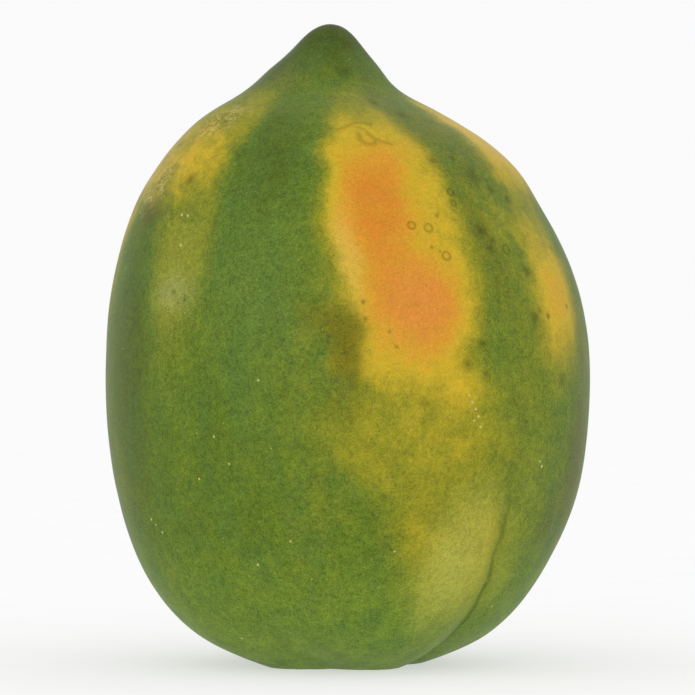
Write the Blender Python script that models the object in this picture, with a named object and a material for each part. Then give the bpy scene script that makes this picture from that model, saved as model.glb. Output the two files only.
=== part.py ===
"""A whole papaya standing on its stem end, with its pointed blossom end up.

The fruit is one solid. A sphere is pulled to a turned outline, pressed into five lobes that meet
round the cut stalk, bowed sideways along its axis, and flattened where the lobes stand.
Run it with: blender --background --python part.py
"""

import math

import bmesh
import bpy
import numpy as np

# Driving dimensions, in metres.
LENGTH = 0.188  # from the flats under the lobes to the blossom tip
DIAMETER = 0.142  # at the widest, a little below half height

# Mesh density. The columns are a multiple of the lobes, so that every lobe is cut the same way.
COLUMNS = 80
RINGS = 50
END_CROWDING = 0.5  # 0 spaces the rings evenly, and nearer 1 crowds them at the stalk and the tip

# Half outline, from the middle of the cut stalk, out round the lobes and up to the blossom tip:
# share of the largest radius, share of the length.
OUTLINE = (
    (0.000, 0.0140),  # cut face of the stalk
    (0.078, 0.0148),
    (0.100, 0.0200),
    (0.128, 0.0245),  # cleft round the stalk
    (0.160, 0.0195),
    (0.195, 0.0060),
    (0.245, -0.0040),  # lowest line of the lobes
    (0.335, 0.0010),
    (0.450, 0.0178),
    (0.594, 0.0470),
    (0.749, 0.1040),
    (0.866, 0.1790),
    (0.948, 0.2650),
    (0.990, 0.3620),
    (1.000, 0.4450),
    (0.982, 0.5500),
    (0.927, 0.6350),
    (0.842, 0.7100),
    (0.748, 0.7700),
    (0.632, 0.8180),
    (0.514, 0.8515),
    (0.436, 0.8690),
    (0.375, 0.8815),
    (0.318, 0.8955),
    (0.272, 0.9110),
    (0.232, 0.9280),
    (0.190, 0.9440),
    (0.150, 0.9600),
    (0.110, 0.9775),
    (0.064, 0.9925),
    (0.000, 1.0000),  # blossom tip
)

# Sideways bow of the axis towards +X: share of the length, share of the largest radius.
BOW = (
    (0.000, -0.040),
    (0.060, -0.033),
    (0.150, -0.022),
    (0.250, -0.006),
    (0.400, 0.000),
    (0.520, -0.002),
    (0.620, -0.018),
    (0.720, -0.048),
    (0.780, -0.056),
    (0.820, -0.076),
    (0.860, -0.105),
    (0.890, -0.110),
    (0.920, -0.098),
    (0.950, -0.081),
    (1.000, -0.068),
)
BOW_DEPTH = 0.3  # share of the bow that goes towards +Y as well
OVAL = 0.012  # share by which the widest azimuth stands out from round, and the narrowest falls short
OVAL_AZIMUTH = 45.0  # degrees

# Lobes. Azimuths are in degrees from -Y towards +X.
LOBES = 5
FIRST_RIDGE = 10.0
# Degrees that the lobes wander round the fruit, along the outline from the stalk to the tip.
TWIST = (
    (0.00, 26.0),
    (0.07, 24.0),
    (0.11, 19.5),
    (0.14, 13.5),
    (0.17, 8.0),
    (0.21, 3.7),
    (0.25, 1.8),
    (0.30, -0.4),
    (0.37, -2.8),
    (0.50, -5.0),
    (0.70, -1.0),
    (0.90, 5.0),
    (1.00, 7.0),
)
# Height of the lobes over their mean, in metres, along the outline.
LOBE_HEIGHT = (
    (0.00, 0.0000),
    (0.03, 0.0000),
    (0.07, 0.0006),
    (0.14, 0.0009),
    (0.28, 0.0008),
    (0.50, 0.0005),
    (0.72, 0.0008),
    (0.84, 0.0006),
    (0.93, 0.0002),
    (1.00, 0.0000),
)
# Depth of the crease between two lobes, in metres, along the outline, and each crease's share of it.
CREASE_DEPTH = (
    (0.00, 0.0000),
    (0.03, 0.0000),
    (0.09, 0.0013),
    (0.17, 0.0013),
    (0.27, 0.0006),
    (0.42, 0.0002),
    (0.55, 0.0000),
    (1.00, 0.0000),
)
CREASE_SHARES = (1.0, 0.5, 0.7, 0.4, 0.15)
CREASE_WIDTH = 7.0  # degrees from the bottom of a crease to where it has mostly gone

SKIN_COLOUR = (0.13, 0.20, 0.035, 1.0)
SKIN_ROUGHNESS = 0.42

OUTLINE_STEPS = 1200  # points that the smooth outline is read from


def closed_spline(points, count):
    """Count points along a smooth closed curve through the given ones, evenly spaced by chord length."""
    points = np.array(points, float)
    following = np.roll(points, -1, axis=0)
    chord = np.linalg.norm(following - points, axis=1)
    before = np.roll(chord, 1)
    size = len(points)
    system = np.zeros((size, size))
    for i in range(size):
        system[i, i - 1] = before[i]
        system[i, i] = 2 * (before[i] + chord[i])
        system[i, (i + 1) % size] = chord[i]
    slope = (following - points) / chord[:, None]
    bend = np.linalg.solve(system, 6 * (slope - np.roll(slope, 1, axis=0)))
    start = np.concatenate([[0], np.cumsum(chord)])
    at = np.linspace(0, start[-1], count)
    span = np.clip(np.searchsorted(start, at, side="right") - 1, 0, size - 1)
    here, there = bend[span], np.roll(bend, -1, axis=0)[span]
    along = (at - start[span])[:, None]
    length = chord[span][:, None]
    first = slope[span] - length * (2 * here + there) / 6
    return points[span] + first * along + here * along**2 / 2 + (there - here) * along**3 / (6 * length)


def smooth_steps(table, at):
    """Values of a (place, value) table at the given places, eased between its rows."""
    places, values = np.array(table, float).T
    row = np.clip(np.searchsorted(places, at, side="right") - 1, 0, len(places) - 2)
    share = np.clip((at - places[row]) / (places[row + 1] - places[row]), 0, 1)
    slopes = np.gradient(values, places)
    gap = places[row + 1] - places[row]
    h00 = 2 * share**3 - 3 * share**2 + 1
    h10 = share**3 - 2 * share**2 + share
    h01 = 3 * share**2 - 2 * share**3
    h11 = share**3 - share**2
    return (
        h00 * values[row]
        + h10 * gap * slopes[row]
        + h01 * values[row + 1]
        + h11 * gap * slopes[row + 1]
    )


def half_outline():
    """The outline in metres from stalk to tip, evenly spaced, with its outward normals."""
    right = [(r * DIAMETER / 2, z * LENGTH) for r, z in OUTLINE]
    left = [(-r, z) for r, z in reversed(right[1:-1])]
    loop = closed_spline(right + left, 2 * OUTLINE_STEPS)
    tip = np.argmax(loop[:, 1])
    line = loop[: tip + 1]
    walked = np.concatenate([[0], np.cumsum(np.linalg.norm(np.diff(line, axis=0), axis=1))])
    even = np.linspace(0, walked[-1], OUTLINE_STEPS)
    line = np.stack([np.interp(even, walked, line[:, k]) for k in (0, 1)], axis=1)
    line[[0, -1], 0] = 0.0
    heading = np.gradient(line, axis=0)
    heading /= np.linalg.norm(heading, axis=1, keepdims=True)
    normal = np.stack([heading[:, 1], -heading[:, 0]], axis=1)
    return line, normal


def lobe_relief(along, azimuth):
    """How far the skin stands over the turned outline, in metres."""
    turned = azimuth - FIRST_RIDGE - smooth_steps(TWIST, along)
    relief = smooth_steps(LOBE_HEIGHT, along) * np.cos(np.radians(LOBES * turned))
    depth = smooth_steps(CREASE_DEPTH, along)
    for i, share in enumerate(CREASE_SHARES):
        off = (turned - (i + 0.5) * 360.0 / LOBES + 180.0) % 360.0 - 180.0
        relief = relief - share * depth * np.exp(-((off / CREASE_WIDTH) ** 2))
    return relief


def skin_points(along, azimuth):
    """Points of the skin, in metres. along is 0 at the stalk and 1 at the tip; azimuth is in degrees."""
    line, normal = half_outline()
    places = np.linspace(0, 1, len(line))
    radius, height, out, up = (
        np.interp(along, places, values) for values in (*line.T, *normal.T)
    )
    relief = lobe_relief(along, azimuth)
    oval = 1 + OVAL * np.cos(np.radians(2 * (azimuth - OVAL_AZIMUTH)))
    radius = np.maximum(radius + relief * out, 0.0) * oval
    height = np.maximum(height + relief * up, 0.0)
    bow = smooth_steps(BOW, height / LENGTH) * DIAMETER / 2
    turn = np.radians(azimuth)
    return np.stack(
        [radius * np.sin(turn) + bow, -radius * np.cos(turn) + BOW_DEPTH * bow, height], axis=1
    )


def clear_scene():
    for obj in list(bpy.data.objects):
        bpy.data.objects.remove(obj, do_unlink=True)


def skin_material():
    material = bpy.data.materials.new("papaya_skin")
    material.use_nodes = True
    shader = material.node_tree.nodes["Principled BSDF"]
    shader.inputs["Base Color"].default_value = SKIN_COLOUR
    shader.inputs["Roughness"].default_value = SKIN_ROUGHNESS
    shader.inputs["Metallic"].default_value = 0.0
    return material


def make_papaya(collection):
    """One sphere whose rings and columns are moved to the fruit's skin."""
    mesh = bpy.data.meshes.new("papaya")
    shape = bmesh.new()
    bmesh.ops.create_uvsphere(shape, u_segments=COLUMNS, v_segments=RINGS, radius=1.0)
    directions = np.array([v.co for v in shape.verts])
    polar = np.arccos(np.clip(-directions[:, 2], -1, 1)) / math.pi
    along = polar - END_CROWDING * np.sin(2 * math.pi * polar) / (2 * math.pi)
    azimuth = np.degrees(np.arctan2(directions[:, 0], -directions[:, 1]))
    points = skin_points(along, azimuth)
    middle = (points.min(axis=0) + points.max(axis=0)) / 2
    points[:, :2] -= middle[:2]
    for vertex, point in zip(shape.verts, points):
        vertex.co = point
    shape.to_mesh(mesh)
    shape.free()
    mesh.shade_smooth()
    mesh.materials.append(skin_material())
    papaya = bpy.data.objects.new("papaya", mesh)
    collection.objects.link(papaya)
    return papaya


def main():
    clear_scene()
    collection = bpy.data.collections.new("papaya")
    bpy.context.scene.collection.children.link(collection)
    make_papaya(collection)


main()
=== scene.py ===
"""Looks of the papaya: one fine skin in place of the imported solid, its floor, lights and camera.

The skin has the solid's form and adds what is too small for it: the sharp foot of the creases, shallow
dents, scars and flecks. Places on the fruit are an azimuth, in degrees from -Y towards +X round its
bowed axis, and a height, as a share of its length from the surface it stands on. How ripe the skin is,
its tint and its scars are worked out for every vertex from the streaks, patches and marks below, and
the skin's material reads them and adds the fine grain.
"""

import math

import bmesh
import bpy
import numpy as np
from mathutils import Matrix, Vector, noise


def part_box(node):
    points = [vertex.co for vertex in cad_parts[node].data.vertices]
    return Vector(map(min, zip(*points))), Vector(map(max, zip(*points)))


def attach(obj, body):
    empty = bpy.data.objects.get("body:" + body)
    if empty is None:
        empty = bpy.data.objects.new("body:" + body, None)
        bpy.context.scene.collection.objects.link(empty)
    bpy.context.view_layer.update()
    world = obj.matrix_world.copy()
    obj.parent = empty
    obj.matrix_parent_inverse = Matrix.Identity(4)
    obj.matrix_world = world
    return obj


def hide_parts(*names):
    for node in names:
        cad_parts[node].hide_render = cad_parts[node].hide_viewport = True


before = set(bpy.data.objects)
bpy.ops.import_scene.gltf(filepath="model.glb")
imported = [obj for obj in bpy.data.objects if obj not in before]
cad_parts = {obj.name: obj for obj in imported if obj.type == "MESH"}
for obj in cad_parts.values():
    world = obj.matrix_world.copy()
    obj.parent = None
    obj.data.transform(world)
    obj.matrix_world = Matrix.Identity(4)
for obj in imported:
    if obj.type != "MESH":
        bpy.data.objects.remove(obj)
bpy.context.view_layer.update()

NODE = "papaya"
LOW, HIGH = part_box(NODE)
LENGTH = HIGH.z - LOW.z
DIAMETER = (HIGH.x - LOW.x + HIGH.y - LOW.y) / 2
MM = 0.001

# ---------------------------------------------------------------------------------------------
# Form, as the solid has it: share of the largest radius and share of the length, stalk to tip.
# ---------------------------------------------------------------------------------------------
OUTLINE = (
    (0.000, 0.0140),
    (0.078, 0.0148),
    (0.100, 0.0200),
    (0.128, 0.0245),
    (0.160, 0.0195),
    (0.195, 0.0060),
    (0.245, -0.0040),
    (0.335, 0.0010),
    (0.450, 0.0178),
    (0.594, 0.0470),
    (0.749, 0.1040),
    (0.866, 0.1790),
    (0.948, 0.2650),
    (0.990, 0.3620),
    (1.000, 0.4450),
    (0.982, 0.5500),
    (0.927, 0.6350),
    (0.842, 0.7100),
    (0.748, 0.7700),
    (0.632, 0.8180),
    (0.514, 0.8515),
    (0.436, 0.8690),
    (0.375, 0.8815),
    (0.318, 0.8955),
    (0.272, 0.9110),
    (0.232, 0.9280),
    (0.190, 0.9440),
    (0.150, 0.9600),
    (0.110, 0.9775),
    (0.064, 0.9925),
    (0.000, 1.0000),
)
# Sideways bow of the axis towards +X: share of the length, share of the largest radius.
BOW = (
    (0.000, -0.040),
    (0.060, -0.033),
    (0.150, -0.022),
    (0.250, -0.006),
    (0.400, 0.000),
    (0.520, -0.002),
    (0.620, -0.018),
    (0.720, -0.048),
    (0.780, -0.056),
    (0.820, -0.076),
    (0.860, -0.105),
    (0.890, -0.110),
    (0.920, -0.098),
    (0.950, -0.081),
    (1.000, -0.068),
)
BOW_DEPTH = 0.3  # share of the bow that goes towards +Y as well
OVAL = 0.012  # share by which the widest azimuth stands out from round, and the narrowest falls short
OVAL_AZIMUTH = 45.0
LOBES = 5
FIRST_RIDGE = 10.0  # azimuth
# The tables below run along the outline, from 0 at the stalk to 1 at the tip.
TWIST = (  # degrees that the lobes wander round the fruit
    (0.00, 26.0),
    (0.07, 24.0),
    (0.11, 19.5),
    (0.14, 13.5),
    (0.17, 8.0),
    (0.21, 3.7),
    (0.25, 1.8),
    (0.30, -0.4),
    (0.37, -2.8),
    (0.50, -5.0),
    (0.70, -1.0),
    (0.90, 5.0),
    (1.00, 7.0),
)
LOBE_HEIGHT = (  # metres over the mean of the lobes
    (0.00, 0.0000),
    (0.03, 0.0000),
    (0.07, 0.0006),
    (0.14, 0.0009),
    (0.28, 0.0008),
    (0.50, 0.0005),
    (0.72, 0.0008),
    (0.84, 0.0006),
    (0.93, 0.0002),
    (1.00, 0.0000),
)
CREASE_DEPTH = (  # metres, of the crease between two lobes
    (0.00, 0.0000),
    (0.03, 0.0000),
    (0.09, 0.0013),
    (0.17, 0.0013),
    (0.27, 0.0006),
    (0.42, 0.0002),
    (0.55, 0.0000),
    (1.00, 0.0000),
)
CREASE_SHARES = (1.0, 0.5, 0.7, 0.4, 0.15)  # of the depth, crease by crease
CREASE_WIDTH = 7.0  # degrees from the bottom of a crease to where it has mostly gone
# The sharp foot of the creases, which only the fine skin has: depth in millimetres along the outline.
FOOT_DEPTH = (
    (0.00, 0.00),
    (0.06, 0.10),
    (0.10, 0.30),
    (0.20, 0.36),
    (0.30, 0.30),
    (0.38, 0.14),
    (0.46, 0.00),
    (1.00, 0.00),
)
FOOT_WIDTH = 0.9  # millimetres
OUTLINE_STEPS = 1200  # points that the smooth outline is read from
BOX_STEPS = 201  # places along the outline that the form's box is measured at, at each degree

# ---------------------------------------------------------------------------------------------
# Mesh: a cube of square cells blown up to the skin, and cut finer round the small marks.
# ---------------------------------------------------------------------------------------------
CELLS = 100  # along each edge of the cube
CUBE_TURN = 15.0  # degrees, so that the widest ripe streak and the crease lie on one side of the cube
UV_COLUMNS = 3  # tiles of the UV map, one for each side of the cube
UV_ROWS = 2
UV_MARGIN = 0.012
# Cuts that split the faces near the sharp crease and round the small marks: how near the crease in
# millimetres, where along the outline that ends, and how far past a mark's edge in millimetres.
CUTS = ((2.5, 0.45, 1.6), (1.3, 0.30, 0.9), (0.0, 0.0, 0.4))
CREASE_START = 0.07  # along the outline

# Layers of smooth noise: amount, size of the features in metres, and seed.
DENTS = ((0.22, 0.030, 1), (0.07, 0.009, 2))  # millimetres of relief
AZIMUTH_STRAY = ((1.8, 0.020, 3), (1.3, 0.006, 4))  # degrees that the painted edges stray
HEIGHT_STRAY = ((0.008, 0.020, 5), (0.004, 0.006, 6))  # share of the length that they stray
TALL_CLOUDS = ((0.045, 0.011, 7),)  # ripeness
WIDE_CLOUDS = ((0.02, 0.030, 8),)  # ripeness
TALL = (1, 1, 0.35)  # scale of the points that makes noise stand taller than it is wide
SEED_STEPS = (7.3, 3.1, 5.7)

# ---------------------------------------------------------------------------------------------
# Ripeness: 0 is deep green, 0.28 mid green, 0.5 olive, 0.72 yellow and 1 orange.
# ---------------------------------------------------------------------------------------------
GREEN = 0.28
MOST_RIPE = 0.5  # the most that the streaks add together, where they overlap
GLOSS = 0.013  # light that the wax mirrors evenly over every colour
DARKEST = 0.002  # least linear red, green or blue of a painted colour
RIPENESS_COLOURS = (
    (0.00, (76, 92, 33)),
    (0.14, (87, 105, 39)),
    (0.28, (98, 119, 44)),
    (0.40, (116, 126, 44)),
    (0.52, (141, 139, 44)),
    (0.62, (170, 153, 46)),
    (0.72, (193, 165, 49)),
    (0.82, (202, 157, 49)),
    (0.91, (206, 144, 50)),
    (1.00, (204, 131, 50)),
)
# Ripe streaks, lobe by lobe. Each starts with the degrees over which its edges fade. Its rows, from the
# top down, are a height, the azimuths of the two edges there, and the ripeness that it adds.
RIPE_STREAKS = (
    # front lobe: the broad yellow streak, and the olive fade that runs down to the crease
    (13.0, (
        (0.910, 6, 24, 0.00),
        (0.870, 5, 30, 0.22),
        (0.830, 0, 33, 0.38),
        (0.800, -5, 34, 0.45),
        (0.760, -2, 34, 0.46),
        (0.710, -3, 35, 0.46),
        (0.660, -2, 34, 0.46),
        (0.610, -2, 33, 0.46),
        (0.560, -2, 32, 0.46),
        (0.510, 1, 30, 0.46),
        (0.465, 0, 30, 0.38),
        (0.430, 6, 31, 0.18),
        (0.400, 8, 30, 0.00),
    )),
    (16.0, (
        (0.480, 2, 34, 0.00),
        (0.430, 0, 36, 0.20),
        (0.380, -5, 38, 0.23),
        (0.330, -2, 40, 0.21),
        (0.280, 8, 41, 0.20),
        (0.220, 10, 46, 0.26),
        (0.150, 19, 52, 0.30),
        (0.100, 22, 52, 0.22),
        (0.050, 24, 46, 0.00),
    )),
    # left lobe: a broad shoulder patch that narrows to a pale strip, and its far edge
    (13.0, (
        (0.930, -60, -24, 0.00),
        (0.880, -68, -26, 0.18),
        (0.840, -76, -29, 0.25),
        (0.800, -86, -34, 0.36),
        (0.765, -92, -36, 0.35),
        (0.735, -78, -34, 0.24),
        (0.700, -59, -33, 0.17),
        (0.660, -55, -34, 0.22),
        (0.600, -54, -38, 0.20),
        (0.550, -53, -40, 0.13),
        (0.480, -54, -42, 0.05),
        (0.400, -52, -46, 0.00),
    )),
    (8.0, (
        (0.780, -94, -72, 0.12),
        (0.700, -98, -73, 0.34),
        (0.640, -98, -75, 0.28),
        (0.560, -94, -79, 0.14),
        (0.480, -92, -84, 0.00),
    )),
    # right lobe: the shoulder rim, and the streak below it
    (11.0, (
        (0.900, 70, 82, 0.00),
        (0.860, 66, 90, 0.38),
        (0.820, 65, 96, 0.44),
        (0.790, 60, 98, 0.44),
        (0.755, 58, 96, 0.34),
        (0.705, 70, 90, 0.00),
    )),
    (11.0, (
        (0.750, 56, 74, 0.00),
        (0.700, 53, 74, 0.22),
        (0.660, 55, 72, 0.32),
        (0.610, 54, 71, 0.45),
        (0.560, 53, 70, 0.45),
        (0.510, 53, 70, 0.36),
        (0.465, 54, 70, 0.18),
        (0.410, 56, 68, 0.00),
    )),
    # the two lobes behind
    (10.0, (
        (0.900, 144, 162, 0.00),
        (0.850, 132, 172, 0.34),
        (0.760, 134, 170, 0.46),
        (0.640, 138, 168, 0.46),
        (0.540, 143, 166, 0.38),
        (0.440, 140, 168, 0.22),
        (0.300, 146, 164, 0.10),
        (0.180, 150, 160, 0.00),
    )),
    (10.0, (
        (0.900, 216, 236, 0.00),
        (0.840, 206, 246, 0.36),
        (0.760, 212, 244, 0.40),
        (0.660, 218, 240, 0.30),
        (0.540, 222, 244, 0.20),
        (0.420, 220, 238, 0.08),
        (0.300, 222, 236, 0.00),
    )),
)
# Streaks of the same form inside the ripe ones, where the skin has turned from yellow to orange.
ORANGE_STREAKS = (
    (14.0, (
        (0.850, 9, 15, 0.00),
        (0.800, 6, 24, 0.12),
        (0.755, 2, 21, 0.22),
        (0.700, 3, 20, 0.24),
        (0.655, 3, 18, 0.20),
        (0.615, 4, 24, 0.19),
        (0.570, 5, 28, 0.23),
        (0.525, 8, 27, 0.17),
        (0.485, 10, 26, 0.08),
        (0.440, 13, 22, 0.00),
    )),
    (8.0, (
        (0.840, 146, 158, 0.00),
        (0.780, 141, 163, 0.20),
        (0.680, 144, 162, 0.22),
        (0.580, 148, 160, 0.12),
        (0.500, 150, 158, 0.00),
    )),
)
# A patch is its azimuth, height, half width in degrees, half height and lean. It falls to half at its
# half width and height. Lean is the degrees that it moves round over a whole length.
PATCH_HARDNESS = 1.4  # 1 gives a soft bell, and more gives a flatter top with steeper sides
RIPE_SPOTS = (  # a patch, and the ripeness that it adds, or takes away with a minus
    (-54.0, 0.795, 5.0, 0.016, 140, 0.10),
    (24.0, 0.360, 7.0, 0.070, 0, 0.08),
    (50.0, 0.320, 9.0, 0.110, 0, 0.07),
    (2.0, 0.290, 8.0, 0.060, 0, 0.05),
    (66.0, 0.820, 6.0, 0.020, 0, 0.08),
    (62.0, 0.585, 4.0, 0.045, 0, 0.06),
    (28.0, 0.440, 5.0, 0.030, 0, 0.08),
    (226.0, 0.800, 7.0, 0.030, 0, 0.12),
    (-20.0, 0.770, 12.0, 0.085, 0, -0.16),
    (44.0, 0.560, 9.0, 0.200, 0, 0.10),
    (50.0, 0.700, 10.0, 0.080, 0, 0.07),
    (38.0, 0.800, 9.0, 0.060, -60, 0.05),
    (46.0, 0.770, 5.0, 0.035, 0, -0.05),
    (-62.0, 0.540, 8.0, 0.160, 0, -0.12),
    (-11.0, 0.540, 9.0, 0.300, 0, 0.06),
    (70.0, 0.300, 7.0, 0.180, 0, -0.06),
)
TINTS = (  # a patch, how much of the tint shows, and its colour
    (-23.0, 0.600, 13.0, 0.150, 0, 0.70, (96, 120, 55)),
    (-61.0, 0.700, 5.0, 0.022, 40, 0.80, (98, 92, 44)),
    (-82.0, 0.400, 9.0, 0.250, 0, 0.50, (105, 109, 54)),
    (-64.0, 0.440, 8.0, 0.200, 0, 0.75, (86, 98, 42)),
    (76.0, 0.450, 8.0, 0.230, 0, 0.55, (108, 106, 52)),
    (-45.0, 0.925, 26.0, 0.022, 0, 0.50, (106, 112, 68)),
    (-76.0, 0.800, 7.0, 0.060, 0, 0.45, (176, 160, 88)),
    (49.0, 0.180, 6.0, 0.130, 0, 0.70, (133, 143, 52)),
    (32.0, 0.155, 9.0, 0.085, 0, 0.85, (176, 173, 78)),
    (35.0, 0.250, 6.0, 0.050, 0, 0.50, (162, 160, 64)),
    (-6.0, 0.550, 4.5, 0.022, 0, 0.70, (108, 110, 38)),
    (-1.0, 0.528, 4.5, 0.026, 0, 0.80, (110, 106, 34)),
    (0.0, 0.495, 3.2, 0.045, 0, 0.75, (112, 105, 32)),
    (0.0, 0.430, 4.0, 0.040, 0, 0.45, (120, 116, 35)),
    (-45.0, 0.620, 6.5, 0.080, 0, 0.55, (138, 145, 62)),
    (-45.5, 0.587, 5.0, 0.026, 0, 0.75, (148, 154, 84)),
    (63.0, 0.240, 5.0, 0.050, 0, 0.30, (118, 108, 62)),
    (72.0, 0.330, 6.0, 0.090, 0, 0.60, (94, 93, 48)),
    (62.0, 0.050, 10.0, 0.060, 0, 0.65, (88, 103, 44)),
    (-60.0, 0.930, 12.0, 0.035, 0, 0.65, (88, 93, 56)),
    (45.0, 0.850, 14.0, 0.080, -40, 0.60, (109, 110, 42)),
    (41.0, 0.660, 4.0, 0.080, 0, 0.60, (100, 106, 40)),
    (17.0, 0.570, 8.5, 0.055, 0, 0.60, (213, 139, 66)),
    (72.0, 0.830, 10.0, 0.040, 0, 0.45, (206, 178, 96)),
    (2.0, 0.640, 2.5, 0.060, 0, 0.40, (218, 178, 92)),
    # the sides and the back
    (118.0, 0.720, 13.0, 0.090, 0, 0.70, (86, 104, 36)),
    (114.0, 0.480, 14.0, 0.160, 0, 0.60, (96, 120, 56)),
    (98.0, 0.300, 9.0, 0.120, 0, 0.45, (124, 132, 54)),
    (131.0, 0.560, 5.0, 0.040, 0, 0.70, (112, 106, 38)),
    (150.0, 0.220, 10.0, 0.080, 0, 0.60, (158, 160, 74)),
    (188.0, 0.760, 10.0, 0.100, 0, 0.70, (86, 103, 37)),
    (192.0, 0.520, 12.0, 0.120, 0, 0.55, (94, 119, 54)),
    (206.0, 0.600, 5.0, 0.050, 0, 0.60, (114, 108, 40)),
    (232.0, 0.300, 9.0, 0.100, 0, 0.50, (132, 142, 58)),
    (258.0, 0.640, 12.0, 0.120, 0, 0.60, (90, 110, 42)),
    (262.0, 0.330, 10.0, 0.120, 0, 0.45, (112, 114, 52)),
)
MOTTLED = (  # a patch, and how much blotchier the skin is there
    (48.0, 0.740, 14.0, 0.120, 0, 1.6),
    (-58.0, 0.780, 16.0, 0.080, 0, 1.8),
    (-4.0, 0.520, 8.0, 0.060, 0, 2.2),
    (14.0, 0.400, 22.0, 0.080, 0, 0.2),
    (64.0, 0.300, 8.0, 0.120, 0, 1.0),
    (190.0, 0.600, 18.0, 0.200, 0, 1.2),
)
RUSSET = (  # a patch, and how thickly the rough cream streaks lie there
    (-51.0, 0.845, 9.0, 0.020, 160, 1.0),
    (-65.0, 0.745, 6.0, 0.035, 60, 1.0),
    (176.0, 0.820, 12.0, 0.030, 60, 0.8),
    (250.0, 0.700, 8.0, 0.040, 30, 0.7),
)
# the tip's own darker green, made darker still as painted shade against the stronger light from above
TIP_GREEN_AND_SHADE = (67, 79, 28)
# painted shade: the darker green laid along the crease
CREASE_SHADE_GREEN = (72, 94, 40)
# painted light: a paler green that lightens the bottom of the fruit, where the studio's light falls off
BOTTOM_PAINTED_LIGHT_GREEN = (124, 152, 62)
TIP_BROWN = (74, 58, 34)
# Bands round the fruit: how much of the colour shows in the end, the height where it starts, the rise
# from there to the full amount, which is negative where the band lies below, and the colour.
BANDS = (
    # painted light, lightening the bottom of the fruit
    (0.6, 0.22, -0.18, BOTTOM_PAINTED_LIGHT_GREEN),
    # the tip's own darker green with painted shade from above
    (0.9, 0.90, 0.07, TIP_GREEN_AND_SHADE),
    (1.0, 0.996, 0.003, TIP_BROWN),
)
# Painted shade in the crease, a soft dark band and the thin line at its foot: how dark, half width in
# degrees.
CREASE_SHADOWS = ((0.15, 3.0), (0.5, 0.8))
SHADOW_FOOT = 0.30  # millimetres of foot depth that bring them out in full
SCAR_SHADE = (0.50, 0.52, 0.50, 1.0)  # what a scar leaves of the skin's colour
LEAST_COVER = 1e-6  # keeps a bare vertex from a division by 0

# ---------------------------------------------------------------------------------------------
# Marks. Places are azimuth and height; sizes are millimetres.
# ---------------------------------------------------------------------------------------------
RINGS = (  # azimuth, height, radius, how dark
    (19.6, 0.684, 1.10, 0.8),
    (24.2, 0.681, 1.25, 0.7),
    (26.8, 0.639, 1.20, 0.8),
    (35.4, 0.737, 1.00, 0.8),
    (35.0, 0.720, 0.90, 0.7),
    (46.9, 0.650, 1.30, 0.5),
    (50.8, 0.546, 1.50, 0.5),
)
SPOTS = (  # azimuth, height, radius, how dark
    (28.0, 0.700, 0.60, 0.9),
    (23.5, 0.652, 0.50, 0.9),
    (25.4, 0.646, 0.40, 0.7),
    (55.7, 0.547, 0.70, 1.6),
    (65.5, 0.561, 0.50, 1.3),
    (4.4, 0.570, 0.55, 1.0),
    (4.6, 0.545, 0.45, 0.9),
    (10.0, 0.526, 0.40, 0.8),
    (11.4, 0.503, 0.45, 0.8),
    (-45.8, 0.584, 0.80, 0.8),
    (-49.0, 0.756, 1.30, 1.0),
    (-42.0, 0.574, 0.60, 0.6),
    (19.0, 0.920, 1.80, 0.6),
    (30.9, 0.874, 1.50, 0.7),
    (41.1, 0.856, 1.60, 0.8),
    (34.2, 0.786, 1.20, 0.9),
    (47.1, 0.763, 1.80, 0.9),
    (43.5, 0.790, 0.90, 0.9),
    (58.2, 0.725, 1.30, 0.9),
    (52.5, 0.742, 1.10, 0.8),
    (40.7, 0.679, 1.60, 1.0),
    (41.3, 0.652, 1.20, 0.9),
    (43.2, 0.664, 0.80, 0.8),
    (51.8, 0.616, 1.40, 0.9),
    (50.8, 0.546, 1.70, 1.0),
    (52.8, 0.556, 0.90, 0.9),
    (32.8, 0.507, 1.10, 0.9),
    (28.5, 0.477, 1.50, 0.8),
    (33.6, 0.462, 0.90, 0.7),
    (17.9, 0.418, 1.40, 0.6),
    (59.1, 0.446, 1.10, 0.8),
    (-33.0, 0.790, 0.90, 0.5),
    (-57.0, 0.460, 1.20, 0.5),
    (131.0, 0.700, 1.40, 0.8),
    (139.0, 0.520, 1.10, 0.8),
    (171.0, 0.640, 1.30, 0.7),
    (205.0, 0.480, 1.20, 0.7),
    (252.0, 0.560, 1.50, 0.8),
    (112.0, 0.420, 1.20, 0.7),
)
FLECKS = (  # azimuth, height and radius of the pale corky flecks
    (-47.2, 0.701, 0.42),
    (-44.9, 0.700, 0.38),
    (-45.4, 0.655, 0.40),
    (29.8, 0.420, 0.38),
    (30.8, 0.409, 0.34),
    (31.6, 0.398, 0.36),
    (30.4, 0.392, 0.30),
    (32.2, 0.382, 0.40),
    (28.9, 0.430, 0.30),
    (53.3, 0.318, 0.45),
    (52.4, 0.326, 0.32),
    (-57.6, 0.237, 0.38),
    (-56.0, 0.229, 0.30),
    (-53.9, 0.218, 0.36),
    (-13.7, 0.210, 0.32),
    (-23.6, 0.171, 0.40),
    (-39.4, 0.054, 0.34),
    (-32.8, 0.367, 0.34),
    (-29.0, 0.326, 0.30),
    (-20.8, 0.453, 0.32),
    (13.2, 0.197, 0.30),
    (57.4, 0.098, 0.34),
    (-38.0, 0.302, 0.34),
)
STROKES = (  # half width, how dark, then the places that the scar runs through
    (0.80, 0.55, ((5.5, 0.828), (8.8, 0.832), (11.5, 0.836), (14.0, 0.837), (18.5, 0.836))),
    (0.75, 0.45, ((11.0, 0.832), (14.6, 0.827), (15.6, 0.821))),
    (0.90, 0.6, ((11.5, 0.820), (11.0, 0.812), (12.6, 0.805), (15.0, 0.804), (16.9, 0.812))),
    (0.85, 0.6, ((15.0, 0.819), (16.6, 0.813), (18.8, 0.809), (21.5, 0.806))),
)
RING_WALL = 0.38  # half width of the raised wall of a ring
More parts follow.
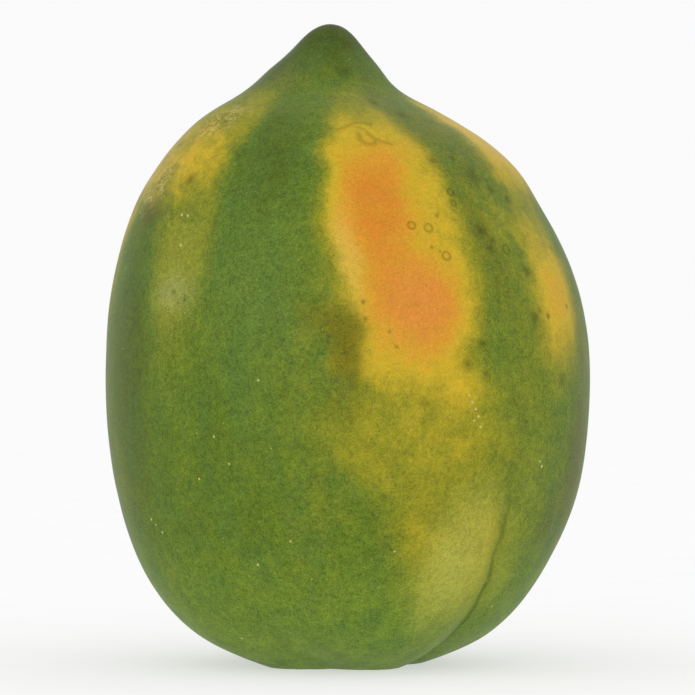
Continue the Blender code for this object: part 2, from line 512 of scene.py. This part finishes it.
RING_DENT = 0.05  # how deep the middle of a ring lies
SCAR_HEIGHT = 0.10
SPOT_DEPTH = 0.12
SPOT_SPREAD = 1.25  # a spot's stain reaches this many times its radius
FLECK_HEIGHT = 0.09
STALK_ALONG = 0.022  # share of the outline that the cut face of the stalk takes
STALK_FADE = 0.004  # the same, for the rim where it gives way to skin


def closed_spline(points, count):
    """Count points along a smooth closed curve through the given ones, evenly spaced by chord length."""
    points = np.array(points, float)
    following = np.roll(points, -1, axis=0)
    chord = np.linalg.norm(following - points, axis=1)
    before = np.roll(chord, 1)
    size = len(points)
    system = np.zeros((size, size))
    for i in range(size):
        system[i, i - 1] = before[i]
        system[i, i] = 2 * (before[i] + chord[i])
        system[i, (i + 1) % size] = chord[i]
    slope = (following - points) / chord[:, None]
    bend = np.linalg.solve(system, 6 * (slope - np.roll(slope, 1, axis=0)))
    start = np.concatenate([[0], np.cumsum(chord)])
    at = np.linspace(0, start[-1], count)
    span = np.clip(np.searchsorted(start, at, side="right") - 1, 0, size - 1)
    here, there = bend[span], np.roll(bend, -1, axis=0)[span]
    along = (at - start[span])[:, None]
    length = chord[span][:, None]
    first = slope[span] - length * (2 * here + there) / 6
    return points[span] + first * along + here * along**2 / 2 + (there - here) * along**3 / (6 * length)


def smooth_steps(table, at):
    """Values of a (place, value) table at the given places, eased between its rows."""
    places, values = np.array(table, float).T
    row = np.clip(np.searchsorted(places, at, side="right") - 1, 0, len(places) - 2)
    gap = places[row + 1] - places[row]
    share = np.clip((at - places[row]) / gap, 0, 1)
    slopes = np.gradient(values, places)
    rise = (3 - 2 * share) * share**2
    return (
        (1 - rise) * values[row]
        + rise * values[row + 1]
        + gap * slopes[row] * share * (1 - share) ** 2
        - gap * slopes[row + 1] * share**2 * (1 - share)
    )


def half_outline():
    """The outline in metres from stalk to tip, evenly spaced, with its outward normals."""
    right = [(r * DIAMETER / 2, z * LENGTH) for r, z in OUTLINE]
    left = [(-r, z) for r, z in reversed(right[1:-1])]
    loop = closed_spline(right + left, 2 * OUTLINE_STEPS)
    line = loop[: np.argmax(loop[:, 1]) + 1]
    walked = np.concatenate([[0], np.cumsum(np.linalg.norm(np.diff(line, axis=0), axis=1))])
    even = np.linspace(0, walked[-1], OUTLINE_STEPS)
    line = np.stack([np.interp(even, walked, line[:, k]) for k in (0, 1)], axis=1)
    line[[0, -1], 0] = 0.0
    heading = np.gradient(line, axis=0)
    heading /= np.linalg.norm(heading, axis=1, keepdims=True)
    return line, np.stack([heading[:, 1], -heading[:, 0]], axis=1)


OUTLINE_LINE, OUTLINE_NORMAL = half_outline()
OUTLINE_PLACES = np.linspace(0, 1, OUTLINE_STEPS)


def degrees_apart(first, second):
    """Degrees from the second azimuth to the first, the short way round."""
    return (first - second + 180.0) % 360.0 - 180.0


def lobe_turn(along, azimuth):
    """Degrees from the first lobe's ridge, which wanders with the twist."""
    return azimuth - FIRST_RIDGE - smooth_steps(TWIST, along)


def crease_offsets(along, azimuth):
    """Degrees from each crease, one row for each."""
    turned = lobe_turn(along, azimuth)
    middles = (np.arange(LOBES) + 0.5) * 360.0 / LOBES
    return np.stack([degrees_apart(turned, middle) for middle in middles])


def lobe_relief(along, azimuth):
    """How far the skin stands over the turned outline, in metres."""
    relief = smooth_steps(LOBE_HEIGHT, along) * np.cos(np.radians(LOBES * lobe_turn(along, azimuth)))
    depth = smooth_steps(CREASE_DEPTH, along)
    for off, share in zip(crease_offsets(along, azimuth), CREASE_SHARES):
        relief = relief - share * depth * np.exp(-((off / CREASE_WIDTH) ** 2))
    return relief


def form_points(along, azimuth):
    """Points of the form, in metres, before its box is put on the solid's."""
    radius, height, out, up = (
        np.interp(along, OUTLINE_PLACES, values) for values in (*OUTLINE_LINE.T, *OUTLINE_NORMAL.T)
    )
    relief = lobe_relief(along, azimuth)
    oval = 1 + OVAL * np.cos(np.radians(2 * (azimuth - OVAL_AZIMUTH)))
    radius = np.maximum(radius + relief * out, 0.0) * oval
    height = np.maximum(height + relief * up, 0.0)
    bow = smooth_steps(BOW, height / LENGTH) * DIAMETER / 2
    turn = np.radians(azimuth)
    return np.stack(
        [radius * np.sin(turn) + bow, -radius * np.cos(turn) + BOW_DEPTH * bow, height], axis=1
    )


def box_shift():
    """The move that puts the middle of the form's box on the middle of the solid's."""
    along, azimuth = np.meshgrid(np.linspace(0, 1, BOX_STEPS), np.arange(-180, 180, 1.0))
    points = form_points(along.ravel(), azimuth.ravel())
    middle = (points.min(axis=0) + points.max(axis=0)) / 2
    return np.array([(LOW.x + HIGH.x) / 2 - middle[0], (LOW.y + HIGH.y) / 2 - middle[1], LOW.z])


SHIFT = box_shift()


def skin_points(along, azimuth):
    """Points of the solid's skin, in metres."""
    return form_points(along, azimuth) + SHIFT


def place(azimuth, height):
    """The point of the skin at an azimuth and a height."""
    lowest = OUTLINE_LINE[:, 1].argmin()
    along = np.interp(height * LENGTH, OUTLINE_LINE[lowest:, 1], OUTLINE_PLACES[lowest:])
    return skin_points(np.atleast_1d(along), np.atleast_1d(float(azimuth)))[0]


def wander(points, size, seed):
    """Smooth noise from about -1 to 1 at each point, with features of the given size in metres."""
    offset = Vector([seed * step for step in SEED_STEPS])
    return np.array([noise.noise(Vector(p) / size + offset) for p in points])


def layered(points, layers):
    """The sum of layers of noise at each point."""
    return sum(amount * wander(points, size, seed) for amount, size, seed in layers)


def patch_share(patch, azimuth, height):
    """1 in the middle of a patch, a half at its half width and height, and 0 far from it."""
    middle, level, half_width, half_height, lean = patch[:5]
    across = degrees_apart(azimuth, middle + lean * (height - level)) / half_width
    upward = (height - level) / half_height
    return 0.5 ** ((across**2 + upward**2) ** PATCH_HARDNESS)


def total_share(patches, azimuth, height):
    """The patches' amounts added up."""
    return sum(amount * patch_share(patch, azimuth, height) for *patch, amount in patches)


def streak_share(streak, azimuth, height):
    """The ripeness that a streak adds: its row's own between the edges, fading out across them."""
    fade, rows = streak
    levels, left, right, amount = np.array(rows[::-1], float).T
    centre = (left + right).mean() / 2
    turned = centre + degrees_apart(azimuth, centre)
    from_left = turned - smooth_steps(np.stack([levels, left], axis=1), height)
    from_right = smooth_steps(np.stack([levels, right], axis=1), height) - turned
    inside = np.clip(np.minimum(from_left, from_right) / fade + 0.5, 0, 1)
    return smooth_steps(np.stack([levels, amount], axis=1), height) * inside**2 * (3 - 2 * inside)


def distance_to_stroke(points, places):
    """Distance of each point from a line through places on the skin, in millimetres."""
    corners = np.array([place(*p) for p in places])
    nearest = np.full(len(points), np.inf)
    for start, end in zip(corners[:-1], corners[1:]):
        run = end - start
        share = np.clip((points - start) @ run / (run @ run), 0, 1)
        nearest = np.minimum(nearest, np.linalg.norm(points - start - share[:, None] * run, axis=1))
    return nearest / MM


def distance_to(points, azimuth, height):
    """Distance of each point from a place on the skin, in millimetres."""
    return np.linalg.norm(points - place(azimuth, height), axis=1) / MM


def directions_to_skin(directions):
    """Along and azimuth for directions from the cube's middle."""
    along = np.arccos(np.clip(-directions[:, 2], -1, 1)) / math.pi
    azimuth = np.degrees(np.arctan2(directions[:, 0], -directions[:, 1]))
    return along, azimuth


def mark_distance(points):
    """Distance in millimetres of each point from the edge of the nearest small mark."""
    nearest = np.full(len(points), np.inf)
    for azimuth, height, radius, *_ in RINGS + SPOTS + FLECKS:
        nearest = np.minimum(nearest, distance_to(points, azimuth, height) - radius)
    for half_width, _, places in STROKES:
        nearest = np.minimum(nearest, distance_to_stroke(points, places) - half_width)
    return nearest


def crease_distance(along, azimuth):
    """Distance in millimetres of each point from the deepest crease, where it has a sharp foot."""
    radius = np.interp(along, OUTLINE_PLACES, OUTLINE_LINE[:, 0])
    return np.radians(np.abs(crease_offsets(along, azimuth)[0])) * radius / MM


def unit_sphere():
    """A cube of square cells pushed out to a unit sphere, with cells of nearly even size."""
    shape = bmesh.new()
    bmesh.ops.create_cube(shape, size=2.0)
    bmesh.ops.subdivide_edges(shape, edges=shape.edges[:], cuts=CELLS - 1, use_grid_fill=True)
    turn = math.radians(CUBE_TURN)
    rotation = Vector((0, 1, 0)).rotation_difference(Vector((-math.sin(turn), math.cos(turn), 0)))
    for vertex in shape.verts:
        out = Vector([math.tan(c * math.pi / 4) for c in vertex.co]).normalized()
        out.rotate(rotation)
        vertex.co = out
    return shape


def cut_finer(shape, chosen):
    """Splits the chosen faces once, and keeps every vertex on the unit sphere."""
    edges = list(dict.fromkeys(edge for face in chosen for edge in face.edges))
    bmesh.ops.subdivide_edges(shape, edges=edges, cuts=1, use_grid_fill=True)
    for vertex in shape.verts:
        vertex.co.normalize()


def refine(shape):
    """Cuts the mesh finer near the sharp crease and, in steps, round the small marks."""
    for crease_reach, crease_end, mark_reach in CUTS:
        shape.faces.ensure_lookup_table()
        middles = np.array([face.calc_center_median().normalized() for face in shape.faces])
        along, azimuth = directions_to_skin(middles)
        near = crease_distance(along, azimuth) < crease_reach
        near &= (along > CREASE_START) & (along < crease_end)
        near |= mark_distance(skin_points(along, azimuth)) < mark_reach
        cut_finer(shape, [shape.faces[i] for i in np.flatnonzero(near)])
    bmesh.ops.triangulate(shape, faces=[face for face in shape.faces if len(face.verts) > 4])


def fine_relief(points, along, azimuth):
    """How far the fine skin stands over the form, in millimetres along its normal."""
    relief = layered(points, DENTS)
    radius = np.interp(along, OUTLINE_PLACES, OUTLINE_LINE[:, 0])
    foot = smooth_steps(FOOT_DEPTH, along)
    for off, share in zip(crease_offsets(along, azimuth), CREASE_SHARES):
        across = np.radians(off) * radius / MM
        relief -= share * foot * np.exp(-((across / FOOT_WIDTH) ** 2))
    return relief


def move_vertices(mesh, points):
    mesh.vertices.foreach_set("co", points.ravel())
    mesh.update()


def write_attribute(mesh, name, values):
    """Keeps one number for each vertex, under a name that the material reads."""
    attribute = mesh.attributes.new(name, "FLOAT", "POINT")
    attribute.data.foreach_set("value", np.asarray(values, np.float32))


def linear(colour):
    """Linear red, green and blue of an sRGB colour from 0 to 255."""
    share = np.array(colour, float) / 255.0
    return np.where(share <= 0.04045, share / 12.92, ((share + 0.055) / 1.055) ** 2.4)


def ripeness(azimuth, height):
    """How ripe the skin is, from 0 to 1."""
    unripe = np.ones(len(azimuth))
    for streak in RIPE_STREAKS:
        unripe *= 1 - streak_share(streak, azimuth, height) / MOST_RIPE
    ripe = GREEN + MOST_RIPE * (1 - unripe)
    for streak in ORANGE_STREAKS:
        ripe += streak_share(streak, azimuth, height)
    return ripe + total_share(RIPE_SPOTS, azimuth, height)


def crease_shadow(along, azimuth):
    """How much of the painted shade in the crease shows, a darker green: a soft band with a thin line at
    its foot.
    """
    off = crease_offsets(along, azimuth)[0]
    reach = np.clip(smooth_steps(FOOT_DEPTH, along) / SHADOW_FOOT, 0, 1)
    return reach * sum(dark * np.exp(-((off / width) ** 2)) for dark, width in CREASE_SHADOWS)


def tints(azimuth, height, along):
    """One colour for each vertex and how much of it shows, from all the tints laid over each other."""
    colour = np.zeros((len(azimuth), 3))
    cover = np.zeros(len(azimuth))
    layers = [(amount * patch_share(patch, azimuth, height), tint) for *patch, amount, tint in TINTS]
    # the bands: painted light low down, the tip's green with painted shade, and the brown at the very tip
    for amount, start, rise, tint in BANDS:
        layers.append((amount * np.clip((height - start) / rise, 0, 1), tint))
    # painted shade along the crease
    layers.append((crease_shadow(along, azimuth), CREASE_SHADE_GREEN))
    for share, tint in layers:
        total = share + cover * (1 - share)
        new = share / np.maximum(total, LEAST_COVER)
        colour = colour * (1 - new)[:, None] + painted(tint) * new[:, None]
        cover = total
    return colour, cover


def scars(points):
    """Darkness from 0 to 1, and height in millimetres, of the rings, spots and strokes."""
    dark = np.zeros(len(points))
    height = np.zeros(len(points))
    for azimuth, level, radius, strength in RINGS:
        away = distance_to(points, azimuth, level)
        wall = np.exp(-(((away - radius) / RING_WALL) ** 2))
        dark = np.maximum(dark, strength * wall)
        height += strength * SCAR_HEIGHT * wall - RING_DENT * np.exp(-((away / radius) ** 4))
    for azimuth, level, radius, strength in SPOTS:
        share = np.exp(-((distance_to(points, azimuth, level) / (SPOT_SPREAD * radius)) ** 2))
        dark = np.maximum(dark, strength * share)
        height -= SPOT_DEPTH * share
    for half_width, strength, places in STROKES:
        share = np.exp(-((distance_to_stroke(points, places) / half_width) ** 2))
        dark = np.maximum(dark, strength * share)
        height += SCAR_HEIGHT * share
    return dark, height


def corky_flecks(points):
    """1 on the pale flecks, fading to 0 at their rims."""
    share = np.zeros(len(points))
    for azimuth, level, radius in FLECKS:
        share = np.maximum(share, np.exp(-((distance_to(points, azimuth, level) / radius) ** 4)))
    return share


def map_sides(mesh, directions):
    """One tile of the UV map for each side of the cube."""
    turn = math.radians(CUBE_TURN)
    x = directions[:, 0] * math.cos(turn) + directions[:, 1] * math.sin(turn)
    y = -directions[:, 0] * math.sin(turn) + directions[:, 1] * math.cos(turn)
    square = np.stack([x, y, directions[:, 2]], axis=1)
    layer = mesh.uv_layers.new(name="OFBake")
    spots = np.zeros((len(mesh.loops), 2))
    for face in mesh.polygons:
        corners = square[list(face.vertices)]
        middle = corners.mean(axis=0)
        axis = int(np.abs(middle).argmax())
        side = 2 * axis + (middle[axis] > 0)
        flat = np.delete(corners, axis, axis=1) / np.abs(corners[:, [axis]])
        inside = np.arctan(flat) / (math.pi / 2) + 0.5
        if (middle[axis] > 0) == (axis == 1):
            inside[:, 0] = 1 - inside[:, 0]
        tile = np.array([side % UV_COLUMNS, side // UV_COLUMNS])
        spots[list(face.loop_indices)] = (tile + UV_MARGIN + inside * (1 - 2 * UV_MARGIN)) / (
            UV_COLUMNS,
            UV_ROWS,
        )
    layer.data.foreach_set("uv", spots.ravel())


def paint(mesh, points, along, azimuth):
    """Keeps how ripe, tinted, blotchy and russet the skin is at each vertex."""
    height = (points[:, 2] - LOW.z) / LENGTH
    strayed_azimuth = azimuth + layered(points, AZIMUTH_STRAY)
    strayed_height = height + layered(points, HEIGHT_STRAY)
    ripe = ripeness(strayed_azimuth, strayed_height)
    ripe += layered(points * TALL, TALL_CLOUDS) + layered(points, WIDE_CLOUDS)
    tint, cover = tints(strayed_azimuth, strayed_height, along)
    write_attribute(mesh, "ripe", ripe)
    write_attribute(mesh, "cover", cover)
    write_attribute(mesh, "blotchiness", 1 + total_share(MOTTLED, azimuth, height))
    write_attribute(mesh, "russet", total_share(RUSSET, azimuth, height))
    colour = mesh.attributes.new("tint", "FLOAT_COLOR", "POINT")
    colour.data.foreach_set("color", np.column_stack([tint, np.ones(len(tint))]).ravel())


def make_skin():
    """The fine skin, with everything its material reads."""
    shape = unit_sphere()
    refine(shape)
    mesh = bpy.data.meshes.new("papaya_skin")
    shape.to_mesh(mesh)
    shape.free()
    directions = np.array([v.co for v in mesh.vertices])
    along, azimuth = directions_to_skin(directions)
    points = skin_points(along, azimuth)
    move_vertices(mesh, points)
    normals = np.array([n.vector for n in mesh.vertex_normals])
    paint(mesh, points, along, azimuth)
    dark, scar_height = scars(points)
    flecks = corky_flecks(points)
    write_attribute(mesh, "scar", dark)
    write_attribute(mesh, "fleck", flecks)
    write_attribute(mesh, "stalk", 1 - np.clip((along - STALK_ALONG) / STALK_FADE, 0, 1))
    relief = fine_relief(points, along, azimuth) + scar_height + FLECK_HEIGHT * flecks
    points = points + normals * (relief * MM)[:, None]
    points[:, 2] = np.maximum(points[:, 2], LOW.z)
    move_vertices(mesh, points)
    map_sides(mesh, directions)
    mesh.shade_smooth()
    skin = bpy.data.objects.new("papaya_skin", mesh)
    bpy.context.scene.collection.objects.link(skin)
    return skin


# ---------------------------------------------------------------------------------------------
# Materials. Sizes are metres, and colours are sRGB from 0 to 255.
# ---------------------------------------------------------------------------------------------
BLOTCH_SIZE = 0.0060
MOTTLE_SIZE = 0.0016
FINE_SIZE = 0.0005
COOL_SIZE = 0.0075
RUSSET_SIZE = 0.0022
WOOD_SIZE = 0.0010
MOST_NOISE = (0.3, 0.7)  # the range that noise mostly keeps to
BLOTCH_RIPENESS = 0.04  # ripeness that the grain adds and takes away
MOTTLE_RIPENESS = 0.006
TINT_STRENGTHS = (0.8, 1.1)  # how the blotches thin and thicken the tints
FINE_GREY = 0.26  # share by which the grain lightens and darkens green skin
MOTTLE_GREY = 0.16
BLOTCH_GREY = 0.07
GREY_RIPE = (0.35, 0.75)  # ripeness over which the grain's share falls
GREY_SHARES = (1.0, 0.4)
COOL_NOISE = (0.42, 0.68)  # noise over which the cool streaks come out
COOL_MOST = 0.35
COOL_RIPE = (0.30, 0.46)  # ripeness over which they go
COOL_GREEN = (80, 112, 58)
COOL_UPWARD = 0.3  # scale of heights for the cool streaks, which stand tall
RUSSET_UPWARD = 1.8  # the same for the russet, which lies across
RUSSET_STREAKS = (0.50, 0.62)  # noise over which a rough streak rises
RUSSET_PITS = (0.46, 0.40)  # noise over which the dirt beside it deepens
PORES = (0.0022, 0.35, 0.13)  # size of the cells, share of them with a speck, its radius as a share
PALE_DOTS = (0.0036, 0.30, 0.080)
SPECK_CORE = 0.6  # share of a speck's radius that shows in full
# How strongly each stain shows, and its colour.
PORE_STAIN = (0.35, (80, 80, 34))
DOT_STAIN = (0.60, (186, 184, 104))
FLECK_STAIN = (0.85, (206, 200, 124))
RUSSET_STAIN = (0.80, (198, 176, 118))
DIRT_STAIN = (0.50, (120, 100, 46))
DARK_WOOD = (104, 82, 50)
PALE_WOOD = (168, 142, 98)
ROUGHNESS = (0.42, 0.54)
STALK_ROUGHER = 0.3
WAX_SPECULAR = 0.12
BUMP_STRENGTH = 0.35
BUMP_DISTANCE = 0.00012


def add(tree, kind, inputs=(), **settings):
    """A new node. Inputs are (socket, value) pairs, and a value that is a socket is linked."""
    made = tree.nodes.new(kind)
    for name, value in settings.items():
        setattr(made, name, value)
    for socket, value in inputs:
        if isinstance(value, bpy.types.NodeSocket):
            tree.links.new(value, made.inputs[socket])
        else:
            made.inputs[socket].default_value = value
    return made


def calc(tree, operation, *values):
    """One step of arithmetic on sockets and numbers."""
    return add(tree, "ShaderNodeMath", enumerate(values), operation=operation).outputs[0]


def rescale(tree, value, low, high, to_low=0.0, to_high=1.0):
    """Value from low to high, moved to the range from to_low to to_high and kept inside it."""
    pairs = zip(range(5), (value, low, high, to_low, to_high))
    return add(tree, "ShaderNodeMapRange", pairs, clamp=True).outputs[0]


def swing(tree, noise_value, amount):
    """Noise moved to the range from -amount to amount."""
    return rescale(tree, noise_value, *MOST_NOISE, -amount, amount)


def mix(tree, share, below, above, blend="MIX"):
    """The share of one colour laid over another."""
    inputs = ((0, share), (6, below), (7, above))
    return add(tree, "ShaderNodeMix", inputs, data_type="RGBA", blend_type=blend).outputs[2]


def grain(tree, where, size, detail=2.0, roughness=0.5, distortion=0.0):
    """Noise from 0 to 1 with features of the given size in metres."""
    inputs = (
        ("Vector", where),
        ("Scale", 1 / size),
        ("Detail", detail),
        ("Roughness", roughness),
        ("Distortion", distortion),
    )
    return add(tree, "ShaderNodeTexNoise", inputs).outputs["Fac"]


def stretched(tree, where, upward):
    """Places with their heights scaled, so that noise on them is drawn out or squeezed upwards."""
    return add(tree, "ShaderNodeMapping", (("Vector", where), ("Scale", (1.0, 1.0, upward)))).outputs[0]


def read(tree, name, output="Fac"):
    """What is kept at each vertex under a name."""
    return add(tree, "ShaderNodeAttribute", attribute_name=name).outputs[output]


def painted(colour):
    """The linear base colour that shows as the given colour under the gloss."""
    return np.maximum(linear(colour) - GLOSS, DARKEST)


def rgba(colour):
    return (*painted(colour), 1.0)


def stain(tree, colour, share, strength, stain_colour):
    """Colour with a stain over it, where share is above 0."""
    return mix(tree, calc(tree, "MULTIPLY", share, strength), colour, rgba(stain_colour))


def ripeness_ramp(tree, value):
    """The skin's colour at a ripeness."""
    ramp = add(tree, "ShaderNodeValToRGB", (("Fac", value),))
    stops = ramp.color_ramp.elements
    while len(stops) < len(RIPENESS_COLOURS):
        stops.new(0.5)
    for stop, (position, colour) in zip(stops, RIPENESS_COLOURS):
        stop.position = position
        stop.color = rgba(colour)
    return ramp.outputs["Color"]


def specks(tree, where, size, share, radius):
    """1 on small round dots, in the given share of cells of the given size."""
    inputs = (("Vector", where), ("Scale", 1 / size), ("Randomness", 1.0))
    cells = add(tree, "ShaderNodeTexVoronoi", inputs)
    chosen = add(tree, "ShaderNodeSeparateColor", (("Color", cells.outputs["Color"]),)).outputs[0]
    dot = rescale(tree, cells.outputs["Distance"], radius * SPECK_CORE, radius, 1.0, 0.0)
    return calc(tree, "MULTIPLY", dot, calc(tree, "LESS_THAN", chosen, share))


def ripe_colour(tree, blotchy, mottle):
    """How ripe the skin is, with the grain's share, and its colour with the tints over it."""
    blotches = calc(tree, "MULTIPLY", swing(tree, blotchy, BLOTCH_RIPENESS), read(tree, "blotchiness"))
    ripe = calc(tree, "ADD", read(tree, "ripe"), blotches)
    ripe = calc(tree, "ADD", ripe, swing(tree, mottle, MOTTLE_RIPENESS))
    strength = rescale(tree, blotchy, *MOST_NOISE, *TINT_STRENGTHS)
    # the tints hold the painted light low down and the painted shade at the tip and in the crease
    cover = calc(tree, "MULTIPLY", read(tree, "cover"), strength)
    return ripe, mix(tree, cover, ripeness_ramp(tree, ripe), read(tree, "tint", "Color"))


def cool_streaks(tree, where, colour, ripe):
    """Colour with bluer green streaks down it, which go where the skin turns."""
    tall_noise = grain(tree, stretched(tree, where, COOL_UPWARD), COOL_SIZE, detail=1.5, distortion=0.4)
    cool = rescale(tree, tall_noise, *COOL_NOISE, 0.0, COOL_MOST)
    cool = calc(tree, "MULTIPLY", cool, rescale(tree, ripe, *COOL_RIPE, 1.0, 0.0))
    return mix(tree, cool, colour, rgba(COOL_GREEN))


def grained(tree, colour, ripe, layers):
    """Colour made lighter and darker by layers of noise, each with its share.

    The grain is strongest on green skin, and hardly shows where it has turned yellow.
    """
    depth = rescale(tree, ripe, *GREY_RIPE, *GREY_SHARES)
    grey = 0.0
    for noise_value, share in layers:
        grey = calc(tree, "MULTIPLY_ADD", swing(tree, noise_value, share), depth, grey)
    light = calc(tree, "ADD", grey, 1.0)
    light_colour = add(tree, "ShaderNodeCombineColor", ((0, light), (1, light), (2, light))).outputs[0]
    return mix(tree, 1.0, colour, light_colour, "MULTIPLY")


def russet_patches(tree, where, colour):
    """Colour with rough cream streaks and the dirt beside them, and how thick the streaks are."""
    patches = read(tree, "russet")
    across = stretched(tree, where, RUSSET_UPWARD)
    rough = grain(tree, across, RUSSET_SIZE, detail=3.0, roughness=0.65, distortion=1.2)
    russet = calc(tree, "MULTIPLY", patches, rescale(tree, rough, *RUSSET_STREAKS))
    colour = stain(tree, colour, russet, *RUSSET_STAIN)
    dirt = calc(tree, "MULTIPLY", patches, rescale(tree, rough, *RUSSET_PITS))
    return stain(tree, colour, dirt, *DIRT_STAIN), russet


def stalk_wood(tree, where):
    """Dry grey-brown fibres of the cut stalk."""
    fibres = grain(tree, where, WOOD_SIZE, detail=4.0, roughness=0.7)
    return mix(tree, fibres, rgba(DARK_WOOD), rgba(PALE_WOOD))


def bump(tree, layers):
    """The normal over layers of height, each a socket and how far it rises."""
    height = 0.0
    for value, rise in layers:
        height = calc(tree, "MULTIPLY_ADD", value, rise, height)
    inputs = (("Height", height), ("Strength", BUMP_STRENGTH), ("Distance", BUMP_DISTANCE))
    return add(tree, "ShaderNodeBump", inputs).outputs["Normal"]


def skin_material():
    """Waxy fruit skin: ripeness and tints with a fine mottled grain, pores, specks, scars and the stalk."""
    material = bpy.data.materials.new("papaya_skin")
    material.use_nodes = True
    tree = material.node_tree
    shader = tree.nodes["Principled BSDF"]
    where = add(tree, "ShaderNodeTexCoord").outputs["Object"]
    blotchy = grain(tree, where, BLOTCH_SIZE, detail=3.0, roughness=0.6, distortion=0.4)
    mottle = grain(tree, where, MOTTLE_SIZE, roughness=0.6)
    fine = grain(tree, where, FINE_SIZE, detail=1.0)
    pores = specks(tree, where, *PORES)
    pale_dots = specks(tree, where, *PALE_DOTS)
    stalk = read(tree, "stalk")

    ripe, colour = ripe_colour(tree, blotchy, mottle)
    colour = cool_streaks(tree, where, colour, ripe)
    greys = ((fine, FINE_GREY), (mottle, MOTTLE_GREY), (blotchy, BLOTCH_GREY))
    colour = grained(tree, colour, ripe, greys)
    colour = stain(tree, colour, pores, *PORE_STAIN)
    colour = stain(tree, colour, pale_dots, *DOT_STAIN)
    colour = stain(tree, colour, read(tree, "fleck"), *FLECK_STAIN)
    colour, russet = russet_patches(tree, where, colour)
    colour = mix(tree, read(tree, "scar"), colour, SCAR_SHADE, "MULTIPLY")
    colour = mix(tree, stalk, colour, stalk_wood(tree, where))
    tree.links.new(colour, shader.inputs["Base Color"])

    roughness = rescale(tree, mottle, *MOST_NOISE, *ROUGHNESS)
    roughness = calc(tree, "ADD", roughness, calc(tree, "MULTIPLY", stalk, STALK_ROUGHER))
    tree.links.new(roughness, shader.inputs["Roughness"])
    shader.inputs["Specular IOR Level"].default_value = WAX_SPECULAR

    heights = ((mottle, 0.5), (fine, 0.3), (pores, -0.4), (pale_dots, 0.8), (russet, 1.2))
    tree.links.new(bump(tree, heights), shader.inputs["Normal"])
    return material


# ---------------------------------------------------------------------------------------------
# Floor, lights and camera, all placed from the solid's box
# ---------------------------------------------------------------------------------------------
MIDDLE = (LOW + HIGH) / 2
FLOOR_RADIUS = 40.0  # metres
FLOOR_SIDES = 96
FLOOR_WHITES = ((0.43, 0.43, 0.43, 1.0), (0.47, 0.47, 0.47, 1.0))  # the two ends of its grain
FLOOR_GRAIN = 0.02  # metres
FLOOR_ROUGHNESS = 0.9
FLOOR_GLOW = 0.53  # light that the floor gives off, as a white table lit from below
SKY = 0.96  # strength of the even white light from all round
CAMERA_DISTANCE = 1.5  # metres
CAMERA_ELEVATION = 1.2  # degrees
FILL = 0.920  # share of the frame's height that the fruit takes
LOOK_LOWER = 0.001  # metres that the camera looks below the fruit's middle
SENSOR = 36.0  # millimetres
# Soft boxes: azimuth and elevation seen from the fruit, distance and size in metres, power in watts.
SOFT_BOXES = (
    ("key", -20.0, 6.0, 1.7, 1.0, 3.5),
    ("fill", 30.0, 2.0, 1.8, 1.0, 3.0),
)


def floor_material():
    """Matt white paper that glows a little."""
    material = bpy.data.materials.new("floor_paper")
    material.use_nodes = True
    tree = material.node_tree
    shader = tree.nodes["Principled BSDF"]
    where = add(tree, "ShaderNodeTexCoord").outputs["Object"]
    shade = mix(tree, grain(tree, where, FLOOR_GRAIN, detail=4.0), *FLOOR_WHITES)
    tree.links.new(shade, shader.inputs["Base Color"])
    shader.inputs["Roughness"].default_value = FLOOR_ROUGHNESS
    shader.inputs["Specular IOR Level"].default_value = 0.0
    shader.inputs["Emission Color"].default_value = (1, 1, 1, 1)
    shader.inputs["Emission Strength"].default_value = FLOOR_GLOW
    return material


def make_floor():
    mesh = bpy.data.meshes.new("floor")
    shape = bmesh.new()
    bmesh.ops.create_circle(shape, cap_ends=True, segments=FLOOR_SIDES, radius=FLOOR_RADIUS)
    shape.to_mesh(mesh)
    shape.free()
    mesh.materials.append(floor_material())
    floor = bpy.data.objects.new("floor", mesh)
    floor.location.z = LOW.z
    bpy.context.scene.collection.objects.link(floor)
    return floor


def from_middle(azimuth, elevation, distance):
    """The point at an azimuth and elevation round the fruit's middle."""
    turn = math.radians(azimuth)
    rise = math.radians(elevation)
    level = distance * math.cos(rise)
    return MIDDLE + Vector((level * math.sin(turn), -level * math.cos(turn), distance * math.sin(rise)))


def aim(thing, lower=0.0):
    """Turns a light or camera towards a point on the fruit's axis, so far below its middle."""
    target = MIDDLE - Vector((0, 0, lower))
    thing.rotation_euler = (target - thing.location).to_track_quat("-Z", "Y").to_euler()


def make_lights():
    """The soft boxes, and even light from all round."""
    for name, azimuth, elevation, distance, size, power in SOFT_BOXES:
        data = bpy.data.lights.new(name, "AREA")
        data.shape = "DISK"
        data.size = size
        data.energy = power
        light = bpy.data.objects.new(name, data)
        light.location = from_middle(azimuth, elevation, distance)
        aim(light)
        bpy.context.scene.collection.objects.link(light)
    world = bpy.data.worlds.new("studio")
    world.use_nodes = True
    world.node_tree.nodes["Background"].inputs["Color"].default_value = (1, 1, 1, 1)
    world.node_tree.nodes["Background"].inputs["Strength"].default_value = SKY
    bpy.context.scene.world = world


def make_camera():
    data = bpy.data.cameras.new("camera")
    data.sensor_width = SENSOR
    data.lens = FILL * SENSOR * CAMERA_DISTANCE / LENGTH
    camera = bpy.data.objects.new("camera", data)
    camera.location = from_middle(0.0, CAMERA_ELEVATION, CAMERA_DISTANCE)
    aim(camera, LOOK_LOWER)
    bpy.context.scene.collection.objects.link(camera)
    bpy.context.scene.camera = camera


skin = make_skin()
skin.data.materials.append(skin_material())
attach(skin, "root")
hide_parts(NODE)
make_floor()
make_lights()
make_camera()
bpy.context.scene.view_settings.view_transform = "Standard"
